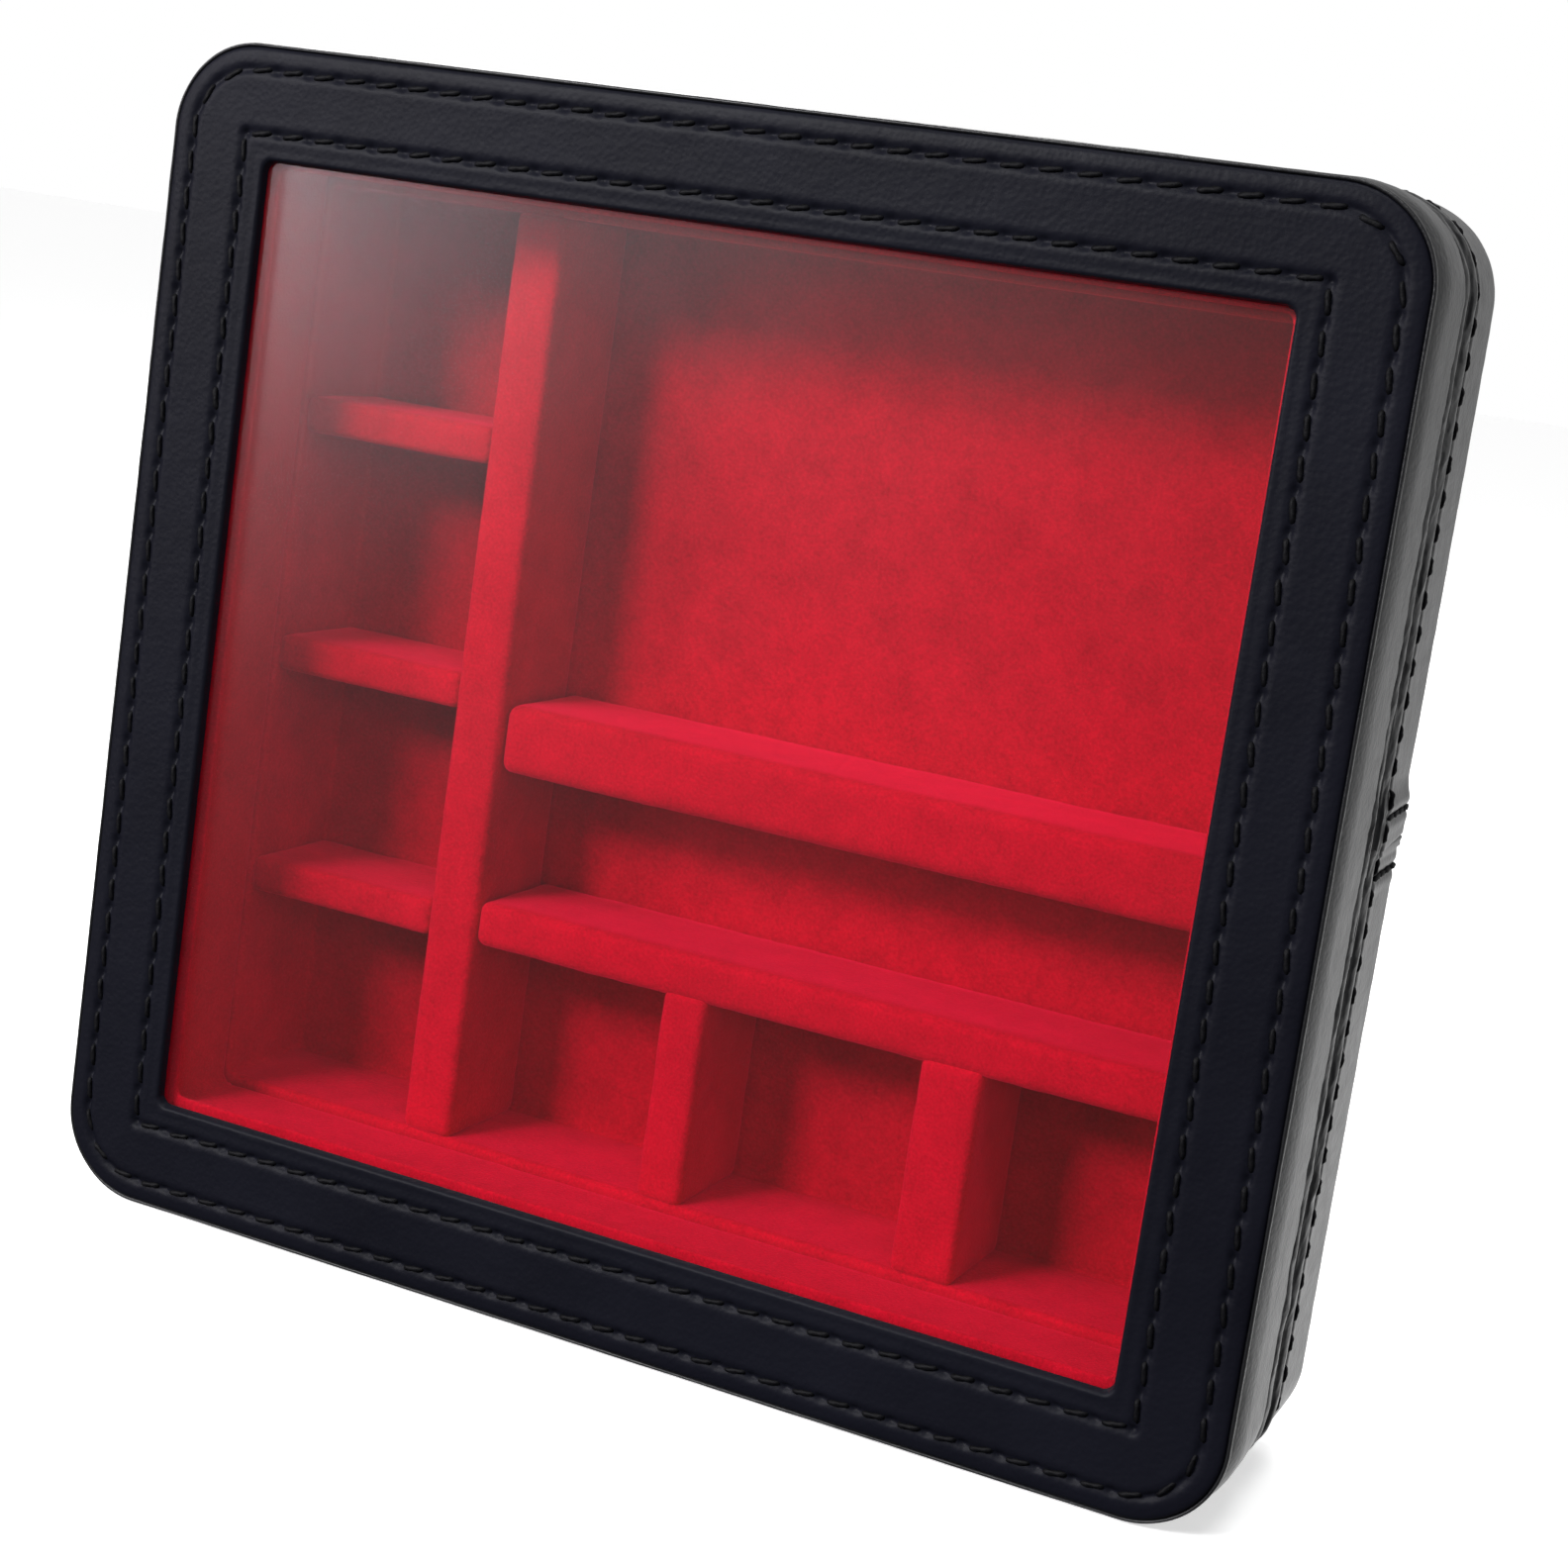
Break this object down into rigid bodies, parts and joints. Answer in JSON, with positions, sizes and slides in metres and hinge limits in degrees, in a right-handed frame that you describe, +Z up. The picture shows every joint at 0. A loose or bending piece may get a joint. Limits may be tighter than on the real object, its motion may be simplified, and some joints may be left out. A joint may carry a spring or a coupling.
{
  "type": "display case",
  "caption": "Upright leatherette display case with a hinged clear-windowed lid, zip closure and flocked compartments for dice and a miniature.",
  "frame": {"origin": "centre of the closed case's footprint, on the surface it stands on", "axes": "+X to the right seen from the front, +Y from the window towards the back, +Z up"},
  "size_m": [0.1653, 0.037, 0.156],
  "materials": {
    "leatherette": "fine soft grain, satin",
    "thread": "twisted polyester thread",
    "core_board": "pressed board",
    "clear_acrylic": "clear, glossy",
    "red_flock": "flocked velvet",
    "zip_tape": "woven",
    "zip_coil": "satin",
    "dark_metal": "satin black"
  },
  "bodies": {
    "base": {"base_frame": "core_board", "back_board": "core_board", "back_panel": "leatherette", "back_stitching": "thread", "back_lining": "red_flock", "wall_lining": "red_flock", "spine_leaf_base": "leatherette", "side_band_upper": "leatherette", "side_band_lower": "leatherette", "side_stitching": "thread", "band_end_stitches": "thread", "zip_teeth_base": "zip_coil", "zip_tape_base": "zip_tape", "vertical_divider": "red_flock", "display_shelf": "red_flock", "lower_rail": "red_flock", "lower_divider_left": "red_flock", "lower_divider_right": "red_flock", "dice_shelf_low": "red_flock", "dice_shelf_mid": "red_flock", "dice_shelf_top": "red_flock"},
    "lid": {"front_panel": "leatherette", "outer_stitching": "thread", "inner_stitching": "thread", "edge_piping": "leatherette", "lid_side_band": "leatherette", "spine_leaf_lid": "leatherette", "lid_frame": "core_board", "window_pane": "clear_acrylic", "window_retainer": "red_flock", "lid_lining": "red_flock", "lid_zip_flap": "leatherette", "zip_tape_lid": "zip_tape", "zip_teeth_lid": "zip_coil"},
    "slider_upper": {"slider_upper": "dark_metal"},
    "slider_lower": {"slider_lower": "dark_metal"},
    "pull_upper": {"pull_upper": "dark_metal"},
    "pull_lower": {"pull_lower": "dark_metal"}
  },
  "joints": [
    {"name": "lid_hinge", "type": "hinge", "parent": "base", "child": "lid", "pos_m": [-0.0825, -0.0025, 0.078], "axis": [0, 0, -1], "range_deg": [0, 170]},
    {"name": "slider_upper_run", "type": "slide", "parent": "base", "child": "slider_upper", "axis": [0, 0, 1], "range_m": [0, 0.055]},
    {"name": "slider_lower_run", "type": "slide", "parent": "base", "child": "slider_lower", "axis": [0, 0, -1], "range_m": [0, 0.055]},
    {"name": "pull_upper_swing", "type": "hinge", "parent": "slider_upper", "child": "pull_upper", "pos_m": [0.0804, 0.0011, 0.0849], "axis": [0, -1, 0], "range_deg": [0, 130]},
    {"name": "pull_lower_swing", "type": "hinge", "parent": "slider_lower", "child": "pull_lower", "pos_m": [0.0804, 0.0011, 0.0753], "axis": [0, -1, 0], "range_deg": [0, 90]}
  ]
}
